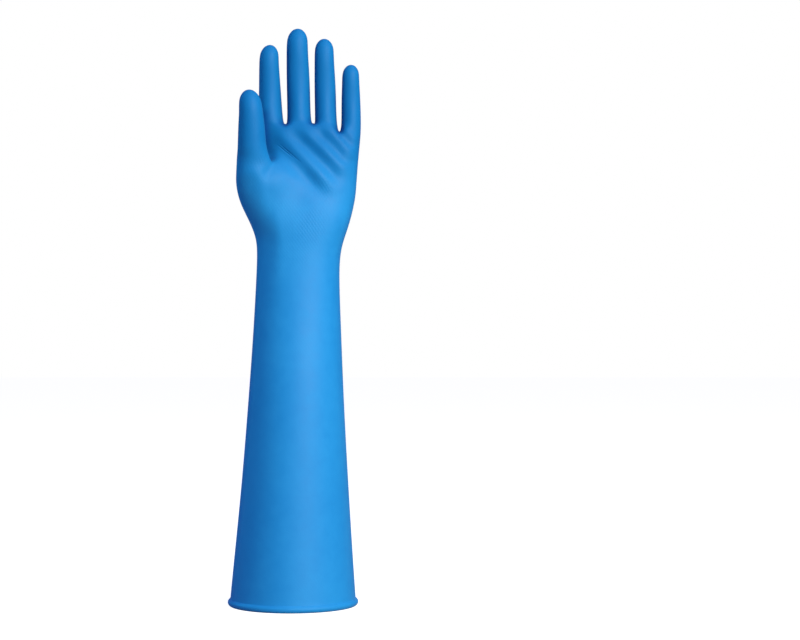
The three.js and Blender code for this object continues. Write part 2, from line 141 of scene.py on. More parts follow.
@dataclass(frozen=True)
class Ring:
    """A closed ring of cage points, with its length measured round it.

    Args:
        numbers: the points' numbers in the cage.
        points: the points themselves.
        front: which of them lies on the palm side, and is measured by its own x.
        seam: which of them the measure starts and ends at.
        rise: how much is added to z for the pattern's second coordinate.
    """

    numbers: Array
    points: Array
    front: int
    seam: int
    rise: float = 0.0

    def corners(self) -> tuple[Array, Array]:
        """Measures the ring for the pattern.

        The first coordinate is the length along the ring from the front point, plus that
        point's x. The second is the height.

        Returns:
            For each side of the ring, the coordinates of its first and of its last point.
        """
        sides = np.linalg.norm(np.roll(self.points, -1, axis=0) - self.points, axis=1)
        order = (self.seam + np.arange(len(sides))) % len(sides)
        start = np.empty(len(sides))
        start[order] = np.concatenate([[0.0], np.cumsum(sides[order])[:-1]])
        start += self.points[self.front, 0] - start[self.front]
        height = self.points[:, 2] + self.rise
        first = np.stack([start, height], axis=1)
        last = np.stack([start + sides, np.roll(height, -1)], axis=1)
        return first, last

    def picked(self, order: list[int], more: Ring, front: int, seam: int) -> Ring:
        """Makes a ring of points of this ring and of another, whose points are counted on.

        Args:
            order: the places of the points in both rings, in their new order.
            more: the other ring.
            front: which of the new ring's points lies on the palm side.
            seam: which of them its measure starts and ends at.

        Returns:
            The new ring.
        """
        numbers = np.concatenate([self.numbers, more.numbers])[order]
        points = np.concatenate([self.points, more.points])[order]
        return Ring(numbers, points, front, seam)


@dataclass
class Cage:
    """Ring points and the quads between them.

    Args:
        points: the rings' points.
        quads: four point numbers for each face.
        pattern: the pattern's coordinates at the four corners of each face.
        count: how many points there are.
    """

    points: list[Array] = field(default_factory=list)
    quads: list[Array] = field(default_factory=list)
    pattern: list[Array] = field(default_factory=list)
    count: int = 0

    def add(self, points: Array, front: int = 0, seam: int = 0, rise: float = 0.0) -> Ring:
        """Adds a ring of new points.

        Args:
            points: the points.
            front: which of them lies on the palm side.
            seam: which of them the ring's measure starts and ends at.
            rise: how much is added to z for the pattern's second coordinate.

        Returns:
            The ring.
        """
        numbers = self.count + np.arange(len(points))
        self.points.append(np.asarray(points, float))
        self.count += len(points)
        return Ring(numbers, np.asarray(points, float), front, seam, rise)

    def join(self, lower: Ring, upper: Ring) -> None:
        """Joins two rings whose columns match, with one quad for each side.

        Args:
            lower: the lower ring.
            upper: the upper ring.
        """
        after = np.roll(np.arange(len(lower.numbers)), -1)
        low, high = lower.numbers, upper.numbers
        self.quads.append(np.stack([low, low[after], high[after], high], axis=1))
        (a, b), (d, c) = lower.corners(), upper.corners()
        self.pattern.append(np.stack([a, b, c, d], axis=1))

    def close(self, ring: Ring, tip: Array) -> None:
        """Closes a ring with quads about a point, each of them on two of the ring's sides.

        Args:
            ring: a ring with an even number of points.
            tip: the point in the middle.
        """
        numbers = ring.numbers
        first = np.arange(0, len(numbers), 2)
        tips = np.full(len(first), self.add(tip[None]).numbers[0])
        quads = [numbers[first], numbers[first + 1], np.roll(numbers[first], -1), tips]
        self.quads.append(np.stack(quads, axis=1))
        start, end = ring.corners()
        reach = np.linalg.norm(ring.points - tip, axis=1).mean()
        top = start[first + 1] + np.array([0.0, reach])
        self.pattern.append(np.stack([start[first], end[first], end[first + 1], top], axis=1))

    def mesh(self, rim: Array) -> QuadMesh:
        """Returns the cage as a mesh of quads whose open edge is the ring of points rim."""
        quads, pattern = np.concatenate(self.quads), np.concatenate(self.pattern)
        return QuadMesh(np.concatenate(self.points), quads, pattern, rim)


@dataclass(frozen=True)
class QuadMesh:
    """A mesh of quads with one open edge.

    Args:
        points: an array of points.
        quads: four point numbers for each face, anticlockwise from outside.
        pattern: the pattern's coordinates at the four corners of each face.
        rim: the numbers of the open edge's points, in order.
    """

    points: Array
    quads: Array
    pattern: Array
    rim: Array

    def _sum_at(self, values: Array, numbers: Array, count: int) -> Array:
        """Adds up rows of values for each number.

        Args:
            values: one row of values for each entry of numbers.
            numbers: the number that each row is added to.
            count: how many numbers there are.

        Returns:
            One row of sums for each number.
        """
        total = np.zeros((count, values.shape[-1]))
        np.add.at(total, numbers.ravel(), values.reshape(-1, values.shape[-1]))
        return total

    def limits(self) -> Array:
        """Finds where each point ends up on the smooth surface.

        With n faces about a point, that place is n squared times the point, plus twice the points
        at the far ends of its edges as each face names them, plus the far corners of its faces,
        over n times n + 5. On the open edge it is a sixth of both neighbours and two thirds of the
        point.

        Returns:
            One place for each point.
        """
        corners = self.points[self.quads]
        sides = np.roll(corners, -1, axis=1) + np.roll(corners, 1, axis=1)
        around = 2.0 * sides + np.roll(corners, 2, axis=1)
        n = np.bincount(self.quads.ravel(), minlength=len(self.points))[:, None]
        total = self._sum_at(around, self.quads, len(self.points)) + n * n * self.points
        places = total / (n * (n + 5.0))
        edge = self.points[self.rim]
        places[self.rim] = (np.roll(edge, 1, 0) + np.roll(edge, -1, 0) + 4.0 * edge) / 6.0
        return places

    def eased(self, rounds: int = 12) -> QuadMesh:
        """Moves the points until the smooth surface passes through where they started.

        Each round moves every point by what its place on the smooth surface still lacks.

        Args:
            rounds: how many times they are moved.

        Returns:
            The mesh with its points moved.
        """
        mesh = self
        for _ in range(rounds):
            mesh = self.moved_to(mesh.points + self.points - mesh.limits())
        return mesh

    def split(self) -> QuadMesh:
        """Splits each quad into four and smooths the points.

        A face's new point is the mean of its corners, and an edge's the mean of its ends and of
        the two faces' points. An old point moves to the mean of its faces' points, plus twice the
        mean of its edges' middles, plus n - 3 times itself, over n. On the open edge an edge's
        point is its middle, and an old point is an eighth of both neighbours and six eighths of
        itself.

        Returns:
            The finer mesh.
        """
        points, quads, rim = self.points, self.quads, self.rim
        count = len(points)
        centres = points[quads].mean(axis=1)
        ends = np.stack([quads, np.roll(quads, -1, axis=1)], axis=-1).reshape(-1, 2)
        edges, edge_of = np.unique(np.sort(ends, axis=1), axis=0, return_inverse=True)
        edge_of = edge_of.reshape(-1, 4)
        middles = points[edges].mean(axis=1)
        spread = np.repeat(centres[:, None], 4, axis=1)
        beside = self._sum_at(spread, edge_of, len(edges))
        inner = np.bincount(edge_of.ravel(), minlength=len(edges))[:, None] == 2
        edge_points = np.where(inner, (2.0 * middles + beside) / 4.0, middles)

        n = np.bincount(quads.ravel(), minlength=count)[:, None].astype(float)
        face_mean = self._sum_at(spread, quads, count) / n
        edge_sum = self._sum_at(np.repeat(middles[:, None], 2, axis=1), edges, count)
        moved = (face_mean + 2.0 * edge_sum / n + (n - 3.0) * points) / n
        edge = points[rim]
        moved[rim] = (np.roll(edge, 1, 0) + np.roll(edge, -1, 0) + 6.0 * edge) / 8.0

        between = count + edge_of
        middle = np.repeat((count + len(edges) + np.arange(len(quads)))[:, None], 4, axis=1)
        fine = np.stack([quads, between, middle, np.roll(between, 1, axis=1)], axis=-1)
        after = (self.pattern + np.roll(self.pattern, -1, axis=1)) / 2.0
        centre = np.repeat(self.pattern.mean(axis=1)[:, None], 4, axis=1)
        pattern = np.stack([self.pattern, after, centre, np.roll(after, 1, axis=1)], axis=2)

        rim_ends = np.sort(np.stack([rim, np.roll(rim, -1)], axis=1), axis=1)
        keys = edges[:, 0] * count + edges[:, 1]
        rim_edges = np.searchsorted(keys, rim_ends[:, 0] * count + rim_ends[:, 1])
        fine_rim = np.stack([rim, count + rim_edges], axis=1).ravel()
        all_points = np.concatenate([moved, edge_points, centres])
        return QuadMesh(all_points, fine.reshape(-1, 4), pattern.reshape(-1, 4, 2), fine_rim)

    def normals(self) -> Array:
        """Works out the points' normals.

        Each is the sum of the cross products of its faces' diagonals, over that sum's length.

        Returns:
            One unit normal for each point.
        """
        a, b, c, d = (self.points[self.quads[:, k]] for k in range(4))
        facing = np.repeat(np.cross(c - a, d - b)[:, None], 4, axis=1)
        total = self._sum_at(facing, self.quads, len(self.points))
        return total / np.linalg.norm(total, axis=1, keepdims=True)

    def moved_to(self, points: Array) -> QuadMesh:
        """The same mesh with other points."""
        return QuadMesh(points, self.quads, self.pattern, self.rim)


@dataclass(frozen=True)
class SleeveAndHand:
    """The sleeve and the hand up to the roots of the fingers.

    Each height's section is a superellipse with its own depth to the palm side and to the back.

    Args:
        sections: by height, the section's left end at the palm side and behind, its right end, its
            depths, its power, and how far the ball of the thumb pushes it out.
        columns: the columns of the skin, round the hand from the index finger's palm side.
        sleeve_rings: the heights of the rings on the sleeve.
        palm_rings: the heights of the rings from the wrist to the thumb's crotch.
        steps_to_root: how far up the rings above that are, as shares of the way to the roots.
        opens: the heights between which the columns turn from the sleeve's places to the hand's.
        pulled_in: how far the palm beside the thumb is drawn in.
        pulled_x: where along -x that starts and is complete.
        pulled_fade: how steeply it dies away over the last of the way to the roots.
        thenar_x: the middle of the ball of the thumb.
        thenar_spread: how far it spreads from there.
        side_drawn: the heights between which the side column is drawn to the thumb's crotch.
        root_front: the palm's depth at the roots.
        root_back: the back's depth there.
        root_square: the section's power there.
        web_heights: how high the webs between the fingers are.
    """

    sections: Table = Table(
        ("z", "left", "behind", "right", "front", "back", "square", "thenar"),
        (
            (7, -60.9, -60.9, 60.9, 60.9, 60.9, 2, 0),
            (24, -59.4, -59.4, 60, 59.7, 59.7, 2, 0),
            (60, -55.7, -55.7, 57.2, 56.4, 56.4, 2, 0),
            (100, -51.8, -51.8, 54.9, 53.2, 53.2, 2, 0),
            (140, -48.1, -48.1, 52.4, 49.8, 49.8, 2, 0),
            (180, -44.9, -44.9, 50.3, 46.6, 46.6, 2, 0),
            (220, -41.9, -41.9, 48.6, 42.6, 42.6, 2, 0),
            (260, -39.1, -39.1, 47, 37.6, 37.6, 2, 0),
            (300, -36.6, -36.6, 45.6, 33, 32.6, 2.05, 0),
            (330, -35.4, -35.4, 45.3, 30.8, 30, 2.15, 0),
            (346, -35.2, -35.2, 47.1, 30, 29, 2.25, 0),
            (358, -36.8, -36.6, 50.4, 29.9, 28.2, 2.3, 0.7),
            (370, -41, -39, 54.3, 29.5, 27.4, 2.4, 2.6),
            (382, -46.6, -41.2, 57.5, 28.7, 26.6, 2.4, 5),
            (394, -51.2, -42.6, 60.1, 27.5, 25.6, 2.4, 8),
            (406, -53.5, -43, 61.4, 26.1, 24.6, 2.45, 12),
            (418, -53.4, -42.6, 62.3, 24.3, 23.6, 2.5, 12.6),
            (430, -52.6, -41.8, 63.2, 22, 22.4, 2.5, 6),
        ),
    )
    columns: tuple[Column, ...] = (
        Column("index_front", Face.PALM, 240, 248, -20.8, 465),
        Column("crotch_1_front", Face.PALM, 255, 258.5, -7.4, 464),
        Column("middle_front", Face.PALM, 270, 271, 6.2, 468),
        Column("crotch_2_front", Face.PALM, 285, 285, 20.1, 464.8),
        Column("ring_front", Face.PALM, 300, 299, 32.5, 466),
        Column("crotch_3_front", Face.PALM, 315, 314, 44.7, 457),
        Column("little_front", Face.PALM, 330, 330, 55.4, 459),
        Column("little_corner_front", Face.PALM, 345, 345, 62.6, 455),
        Column("little_side", Face.EDGE, 360, 360, 65.4, 454),
        Column("little_corner_back", Face.BACK, 375, 375, 62.6, 453),
        Column("little_back", Face.BACK, 390, 390, 55.4, 456),
        Column("crotch_3_back", Face.BACK, 405, 406, 44.7, 454),
        Column("ring_back", Face.BACK, 420, 421, 32.5, 463),
        Column("crotch_2_back", Face.BACK, 435, 435, 20.1, 461.5),
        Column("middle_back", Face.BACK, 450, 449, 6.2, 465),
        Column("crotch_1_back", Face.BACK, 465, 461.5, -7.4, 461),
        Column("index_back", Face.BACK, 480, 475, -20.8, 462),
        Column("index_corner_back", Face.BACK, 495, 492, -31.4, 459),
        Column("index_side", Face.EDGE, 510, 510, -35.0, 460),
        Column("index_corner_front", Face.PALM, 0, 0, -31.4, 461),
    )
    sleeve_rings: tuple[float, ...] = (7, 48, 120, 200, 268, 320)
    palm_rings: tuple[float, ...] = (346, 360, 373, 386, 398, 409, 419.5, 430)
    steps_to_root: tuple[float, ...] = (0.2, 0.56, 1)
    opens: tuple[float, float] = (300, 400)
    pulled_in: float = 9.0
    pulled_x: tuple[float, float] = (8, 32)
    pulled_fade: float = 1.25
    thenar_x: float = -24.0
    thenar_spread: float = 19.5
    side_drawn: tuple[float, float] = (385, 434)
    root_front: float = 14.0
    root_back: float = 13.8
    root_square: float = 3.4
    web_heights: tuple[float, float, float] = (468.2, 468.7, 461.0)

    def number(self, name: str) -> int:
        """The number of the column of that name."""
        return [column.name for column in self.columns].index(name)

    def on_section(self, z: float, side_of_crotch: Array) -> Array:
        """Places the columns that end in the fingers, at a height below the thumb's crotch.

        On a superellipse of power p, x is the centre plus the half width times the turn's cosine
        to the power 2/p, and y the depth times its sine to the same power. The ball of the thumb
        pushes the palm out by a bell curve of x, and the side column is drawn to the thumb's
        crotch.

        Args:
            z: the height.
            side_of_crotch: where the thumb's crotch meets the side of the hand.

        Returns:
            One point for each column but the last.
        """
        row = self.sections.at(z)
        columns = self.columns[:-1]
        opened = smooth(z, *self.opens)
        turn = np.radians(mix([c.sleeve for c in columns], [c.hand for c in columns], opened))
        behind = np.arange(len(columns)) >= self.number("index_back")
        left = np.where(behind, row["behind"], row["left"])
        power = 2.0 / row["square"]
        across = np.sign(np.cos(turn)) * np.abs(np.cos(turn)) ** power
        deep = np.sign(np.sin(turn)) * np.abs(np.sin(turn)) ** power
        x = (left + row["right"]) / 2 + (row["right"] - left) / 2 * across
        y = deep * np.where(deep < 0, row["front"], row["back"])
        lifted = row["thenar"] * np.exp(-(((x - self.thenar_x) / self.thenar_spread) ** 2))
        y -= np.where(y < 0, lifted, 0.0)
        drawn = smooth(z, *self.side_drawn)
        x[-1], y[-1] = mix([x[-1], y[-1]], side_of_crotch[:2], drawn)
        return np.stack([x, y, np.full(len(x), float(z))], axis=1)

    def to_root(self, start: Array, share: float) -> Array:
        """Places all columns between the thumb's crotch and the roots of the fingers.

        Each column's x and height go in a straight line to its root. Its depth is that of a
        superellipse at its x, whose power goes evenly from the last full section's to the roots'.
        The palm beside the thumb is drawn in, fully above the crotch and not at all at the roots.

        Args:
            start: the points that the columns start from.
            share: how far up they are, from 0 to 1.

        Returns:
            One point for each column.
        """
        low = self.sections.at(self.palm_rings[-1])
        x = mix(start[:, 0], [c.root for c in self.columns], share)
        z = mix(start[:, 2], [c.root_z for c in self.columns], share)
        left, right = x[self.number("index_side")], x[self.number("little_side")]
        across = np.minimum(1.0, np.abs((2 * x - left - right) / (right - left)))
        power = mix(low["square"], self.root_square, share)
        depth = (1.0 - across**power) ** (1.0 / power)
        front = mix(low["front"], self.root_front, share)
        back = mix(low["back"], self.root_back, share)
        palm = np.array([c.face is Face.PALM for c in self.columns])
        y = depth * np.where(palm, -front, back)
        left_over = min(1.0, self.pulled_fade * (1.0 - share))
        pulled = self.pulled_in * left_over * smooth(-x, *self.pulled_x)
        return np.stack([x, y + np.where(palm, pulled, 0.0), z], axis=1)


@dataclass(frozen=True)
class Thumb:
    """The ball of the thumb and its crotch.

    Args:
        crotch_front: where the crotch meets the palm.
        crotch_middle: the middle of the web between the thumb and the hand.
        crotch_side: where the crotch meets the side of the hand.
        columns: how many columns of the skin run up its outer side.
        root_x: the x of the ball's centre at the crotch.
        root_y: its y there.
        root_half_depth: half of its depth there.
        root_low: the height of its root ring on the palm side.
        root_rise: how much higher that ring is at the back.
        rises: the heights between which the ball grows out of the sleeve.
        turns: by height, the turns of the first and the last of its columns.
    """

    crotch_front: tuple[float, float, float] = (-18.8, -28.6, 429)
    crotch_middle: tuple[float, float, float] = (-33.5, -15.5, 432.5)
    crotch_side: tuple[float, float, float] = (-44.5, -5.5, 438.5)
    columns: int = 5
    root_x: float = -36.7
    root_y: float = -27.0
    root_half_depth: float = 14.0
    root_low: float = 429.0
    root_rise: float = 7.0
    rises: tuple[float, float] = (350, 430)
    turns: Table = Table(
        ("z", "first", "last"),
        (
            (346, 165, 225),
            (373, 161, 232),
            (386, 156.5, 243),
            (398, 152, 256),
            (409, 148.4, 268),
            (419.5, 146, 284),
            (430, 145, 318),
        ),
    )

    def ball(self, z: float, sections: Table) -> Array:
        """Places the thumb's five outer columns at a height below its crotch.

        They lie on an ellipse that turns from the sleeve's own section into the ball of the thumb.

        Args:
            z: the height.
            sections: the sections of the sleeve and the hand.

        Returns:
            Five points, from the back to the palm side.
        """
        row = sections.at(z)
        grown = smooth(z, *self.rises)
        x = mix((row["left"] + row["right"]) / 2, self.root_x, grown)
        y = mix(0.0, self.root_y, grown)
        ends = self.turns.at(max(z, self.turns.rows[0][0]))
        turn = np.radians(np.linspace(ends["first"], ends["last"], self.columns))
        side = np.where(np.sin(turn) > 0, row["back"], row["front"])
        half_depth = mix(side, self.root_half_depth, grown)
        points = [x + (x - row["left"]) * np.cos(turn), y + half_depth * np.sin(turn)]
        return np.stack([*points, np.full(self.columns, float(z))], axis=1)


@dataclass(frozen=True)
class Digit:
    """A finger or the thumb, built up from its root ring.

    Args:
        stations: the centre, width and depth of its section by height, up to its tip.
        first_turn: the turn of its first column about its centre.
        columns: how many columns run up it.
        rings: where its rings lie below the shoulder, as shares of the height there.
        tip_round: the length of the rounded tip, over half of the tip's width.
        tip_power: how blunt the tip is.
        tip_rings: where the tip's rings lie, as shares of its length.
    """

    stations: Table
    first_turn: float = 0.0
    columns: int = 8
    rings: tuple[float, ...] = (0, 0.43, 0.8, 0.98)
    tip_round: float = 1.5
    tip_power: float = 2.3
    tip_rings: tuple[float, ...] = (0.38, 0.71, 0.92)

    def build(self, cage: Cage, root: Ring) -> None:
        """Adds the digit to the cage.

        Below the shoulder each ring is the section's ellipse. Above it the ellipse shrinks as the
        square root of 1 less the share of the tip's length to a power, which rounds the tip.

        Args:
            cage: the cage to add to.
            root: the ring of points that it grows from, one for each column.
        """
        top = self.stations.rows[-1][0]
        tip = self.stations.at(top)
        rounded = self.tip_round * tip["width"] / 2
        shoulder = top - rounded
        bottom = self.stations.rows[0][0]
        heights = [(bottom + (shoulder - bottom) * share, 1.0) for share in self.rings]
        heights += [
            (shoulder + share * rounded, math.sqrt(1 - share**self.tip_power))
            for share in self.tip_rings
        ]
        turn = np.radians(self.first_turn + 360.0 / self.columns * np.arange(self.columns))
        ring, rise = root, 0.0
        for z, swell in heights:
            row = self.stations.at(z)
            x = row["x"] + swell * row["width"] / 2 * np.cos(turn)
            y = row["y"] + swell * row["depth"] / 2 * np.sin(turn)
            points = np.stack([x, y, np.full(self.columns, z)], axis=1)
            if swell < 1.0:
                step = np.linalg.norm(points - ring.points, axis=1).mean()
                rise += step - (z - ring.points[0, 2])
            upper = cage.add(points, root.front, root.seam, rise)
            cage.join(ring, upper)
            ring = upper
        cage.close(ring, np.array([tip["x"], tip["y"], top]))


DIGIT_COLUMNS = ("z", "x", "y", "width", "depth")
THUMB = Table(
    DIGIT_COLUMNS,
    (
        (442.5, -37.6, -31, 28, 26.4),
        (454, -38, -33.6, 26.4, 25),
        (466, -37.9, -35.9, 24.8, 23.8),
        (480, -38.6, -37.8, 22.4, 21.2),
        (497.6, -40, -37.6, 20.2, 16.4),
    ),
)
FINGERS = {
    "index": Table(
        DIGIT_COLUMNS,
        (
            (473, -21.7, -0.3, 24, 24.6),
            (500, -22.5, -1.6, 21.3, 20),
            (529, -23, -5.7, 18.8, 17.2),
            (544.4, -22.2, -6, 17.4, 13.6),
        ),
    ),
    "middle": Table(
        DIGIT_COLUMNS,
        (
            (474, 5.9, -0.7, 23.2, 25.8),
            (508, 5.1, -1.9, 22.3, 21),
            (541, 4.4, -6.5, 20.6, 18.4),
            (560, 4.9, -7, 19.2, 14.4),
        ),
    ),
    "ring": Table(
        DIGIT_COLUMNS,
        (
            (473, 31.9, -0.7, 21.2, 24.4),
            (500, 31.3, -1.7, 20.6, 19.6),
            (531, 30.6, -6, 18.8, 17),
            (550.2, 30.6, -6.6, 17.6, 13.4),
        ),
    ),
    "little": Table(
        DIGIT_COLUMNS,
        (
            (467, 56.4, -0.3, 19.2, 21),
            (488, 56.4, -1.4, 18.4, 17.6),
            (511, 56.2, -4.7, 16.6, 15.2),
            (525.2, 56.5, -4.9, 15.6, 12.2),
        ),
    ),
}


@dataclass(frozen=True)
class Fold:
    """A fold of the palm, seen from the palm side as a line from one (x, z) to another.

    Args:
        start: where it starts.
        end: where it ends.
        sag: how far its middle bends towards the fingers.
        reach: how far its hollow and its ridge lie from the line.
        height: how high the ridge is.
        fade_in: the share of its length over which it grows.
        fade_out: the share over which it dies away.
    """

    start: tuple[float, float]
    end: tuple[float, float]
    sag: float
    reach: float
    height: float
    fade_in: float
    fade_out: float

    def _across(self, points: Array) -> tuple[Array, Array]:
        """Measures the points against the fold's line.

        The line bows by four times the sag times s times 1 - s, where s is the share of its
        length.

        Args:
            points: places in millimetres.

        Returns:
            Each point's distance from the line over the reach, and how much of the fold is left
            beside it.
        """
        along = np.subtract(self.end, self.start)
        length = float(np.hypot(*along))
        offset = points[:, [0, 2]] - np.array(self.start)
        share = offset @ along / length**2
        bow = 4.0 * self.sag * share * (1.0 - share)
        aside = (offset[:, 1] * along[0] - offset[:, 0] * along[1]) / length - bow
        left = smooth(share, 0, self.fade_in) * smooth(1 - share, 0, self.fade_out)
        return aside / self.reach, left

    def step(self, points: Array) -> Array:
        """How far it lifts each point: a hollow, then a ridge, as t times a bell curve of t."""
        t, left = self._across(points)
        return self.height * left * t * np.exp(0.5 - 0.5 * t**2)


@dataclass(frozen=True)
class Palm:
    """The folds that run slantwise over the palm.

    Args:
        folds: the folds, from the thumb's side on.
        faces: how far the skin must face the palm's way for a fold to start and to be complete.
    """

    folds: tuple[Fold, ...] = (
        Fold((-25, 464.6), (43, 392.9), 0, 6.2, 2.5, 0.4, 0.3),
        Fold((-5, 466), (54, 409.5), 2.4, 5.8, 2.4, 0.3, 0.25),
        Fold((22, 466), (57, 428), 2, 5, 1.7, 0.3, 0.3),
        Fold((44, 465), (62, 445), 0, 3.8, 1, 0.35, 0.35),
    )
    faces: tuple[float, float] = (0.3, 0.8)

    def press(self, mesh: QuadMesh) -> QuadMesh:
        """Presses the folds into the side of the skin that faces the palm's way.

        Each point moves along its normal by the sum of the folds' steps.

        Args:
            mesh: the smooth skin.

        Returns:
            The folded skin.
        """
        normals = mesh.normals()
        facing = smooth(-normals[:, 1], *self.faces)
        lift = sum(fold.step(mesh.points) for fold in self.folds)
        return mesh.moved_to(mesh.points + normals * (facing * lift)[:, None])


@dataclass(frozen=True)
class RolledCuff:
    """The edge of the film, rolled up on itself and pressed flat where it rests.

    Args:
        radius: the roll's own radius.
        centre_radius: how far from the axis the middle of its section runs.
        centre_height: how high it runs.
        film_radius: the radius of the film's outside where it leaves the roll.
        foot: the height at which it does.
        first_turn: where on its section the profile starts, next to the film's outside.
        last_turn: where it ends, next to the film's inside.
        step: the turn between two points of the profile.
        groove: how deep the groove is where the outermost turn of film ends.
        groove_turn: where on the section it lies.
        groove_width: its half width, in degrees.
    """

    radius: float = 3.5
    centre_radius: float = 59.9
    centre_height: float = 3.3
    film_radius: float = 60.9
    foot: float = 7.0
    first_turn: float = 72.0
    last_turn: float = -252.0
    step: float = 9.0
    groove: float = 0.22
    groove_turn: float = 38.0
    groove_width: float = 6.0

    def profile(self) -> Array:
        """Works out the roll's section.

        It is a circle with its underside cut off level at height 0, and a fine groove where the
        outermost turn of film ends.

        Returns:
            Pairs of radius and height, from the film's outside round to its inside.
        """
        turn = np.arange(self.first_turn, self.last_turn - self.step / 2, -self.step)
        dent = self.groove * np.exp(-(((turn - self.groove_turn) / self.groove_width) ** 2))
        angle = np.radians(turn)
        radius = self.centre_radius + (self.radius - dent) * np.cos(angle)
        height = self.centre_height + (self.radius - dent) * np.sin(angle)
        flat = math.sqrt(self.radius**2 - self.centre_height**2)
        low = height < 0.0
        radius[low] = np.clip(radius[low], self.centre_radius - flat, self.centre_radius + flat)
        height[low] = 0.0
        return np.stack([radius, height], axis=1)

    def rings(self, turns: Array) -> Array:
        """Carries the section round the axis.

        Args:
            turns: the turns about the axis, in radians.

        Returns:
            Points by profile point, turn and coordinate.
        """
        section = self.profile()
        x = section[:, :1] * np.cos(turns)
        y = section[:, :1] * np.sin(turns)
        return np.stack([x, y, np.repeat(section[:, 1:], len(turns), axis=1)], axis=2)

    def film_foot(self, turns: Array, radius: float) -> Array:
        """The circle on which the film stands on the roll."""
        foot = np.full(len(turns), self.foot)
        return np.stack([radius * np.cos(turns), radius * np.sin(turns), foot], axis=1)


@dataclass(frozen=True)
class Crease:
    """A thin crease pressed into the palm's film, seen from the palm side.

    Args:
        start: where it starts, as x and z in metres.
        end: where it ends.
        width: its half width, in metres.
        depth: its depth, in metres.
        ends: how far from its middle it starts to die away and is gone, as shares of its length.
        faces: the y at which it is complete and the y at which it is gone.
    """

    start: tuple[float, float]
    end: tuple[float, float]
    width: float = 0.0006
    depth: float = 0.0004
    ends: tuple[float, float] = (0.2, 0.5)
    faces: tuple[float, float] = (-0.012, -0.006)

    def relief(self, sheet: NodeSheet, place: Node) -> Socket:
        """The crease as a height: minus a bell curve of the distance from its line.

        Args:
            sheet: the material's nodes.
            place: the node that gives x, y and z.

        Returns:
            A height between -1 and 0.
        """
        run, rise = (b - a for a, b in zip(self.start, self.end))
        length = math.hypot(run, rise)
        x = sheet.maths("SUBTRACT", place.outputs["X"], self.start[0])
        z = sheet.maths("SUBTRACT", place.outputs["Z"], self.start[1])
        along = sheet.weighed(x, run / length**2, z, rise / length**2)
        scale = 1.0 / (length * self.width)
        aside = sheet.weighed(x, -rise * scale, z, run * scale)
        bell = sheet.bell(sheet.maths("POWER", sheet.maths("ABSOLUTE", aside), 2.0))
        middle = sheet.maths("ABSOLUTE", sheet.maths("SUBTRACT", along, 0.5))
        left = sheet.ranged(middle, *self.ends, 1.0, 0.0)
        palm = sheet.ranged(place.outputs["Y"], *self.faces, -1.0, 0.0)
        return sheet.maths("MULTIPLY", sheet.maths("MULTIPLY", bell, left), palm)


@dataclass(frozen=True)
class GripPatch:
    """A soft round patch of the film on which the embossed grip stands out.

    Args:
        centre: its middle, as x and z in metres.
        radius: how far it reaches, in metres.
        strength: how much of the grip's height it adds.
    """

    centre: tuple[float, float]
    radius: float
    strength: float

    def add_to(self, height: Socket, sheet: NodeSheet, place: Node) -> Socket:
        """Adds the patch to a map of the grip's height.

        Args:
            height: the map so far.
            sheet: the material's nodes.
            place: the node that gives x, y and z.

        Returns:
            The map with the strength times a bell curve of the distance from the middle.
        """
        x = sheet.maths("SUBTRACT", place.outputs["X"], self.centre[0])
        z = sheet.maths("SUBTRACT", place.outputs["Z"], self.centre[1])
        squares = sheet.maths("MULTIPLY_ADD", x, x, sheet.maths("MULTIPLY", z, z))
        bell = sheet.bell(squares, self.radius)
        return sheet.maths("MULTIPLY_ADD", bell, self.strength, height)


@dataclass(frozen=True)
class PaintedCrotchShade:
    """Painted shade: a darker colour in the crotches and between the fingers, where shade falls.

    Args:
        lines: where the painted shade lies, each a row of points in millimetres.
        reaches: how far it spreads from each line, in millimetres.
        attribute: the mesh attribute that holds it.
    """

    lines: tuple[tuple[tuple[float, float, float], ...], ...] = (
        ((-26, -9, 476), (-26, -12, 456), (-25, -14, 444), (-22, -19, 436)),
        ((-7.4, -9, 468), (-7.4, 9, 468)),
        ((20.1, -9, 468.5), (20.1, 9, 468.5)),
        ((44.7, -9, 461), (44.7, 9, 461)),
        ((-7.4, 0, 468), (-9, 0, 500)),
        ((20.1, 0, 468.5), (17.5, 0, 500)),
        ((44.7, 0, 461), (43.2, 0, 492)),
    )
    reaches: tuple[float, ...] = (5.0, 6.5, 6.5, 6.5, 6.0, 6.0, 6.0)
    attribute: str = "painted_shade"

    def share(self, points: Array) -> Array:
        """Works out how much painted shade there is at each point.

        Along each line it is exp(-(d / reach)^2), where d is the distance to the line's nearest
        point, and the largest of the lines' values counts.

        Args:
            points: places in millimetres.

        Returns:
            A share from 0 to 1 for each point.
        """
        share = np.zeros(len(points))
        for line, reach in zip(self.lines, self.reaches):
            for a, b in zip(np.array(line[:-1]), np.array(line[1:])):
                along = np.clip((points - a) @ (b - a) / np.sum((b - a) ** 2), 0.0, 1.0)
                distance = np.linalg.norm(points - a - along[:, None] * (b - a), axis=1)
                share = np.maximum(share, np.exp(-((distance / reach) ** 2)))
        return share


@dataclass(frozen=True)
class Grain:
    """Cloudy unevenness of the film's surface.

    Args:
        scale: how many clouds there are to a metre.
        strength: how much of it shows.
        height: its height, in metres.
    """

    scale: float
    strength: float
    height: float


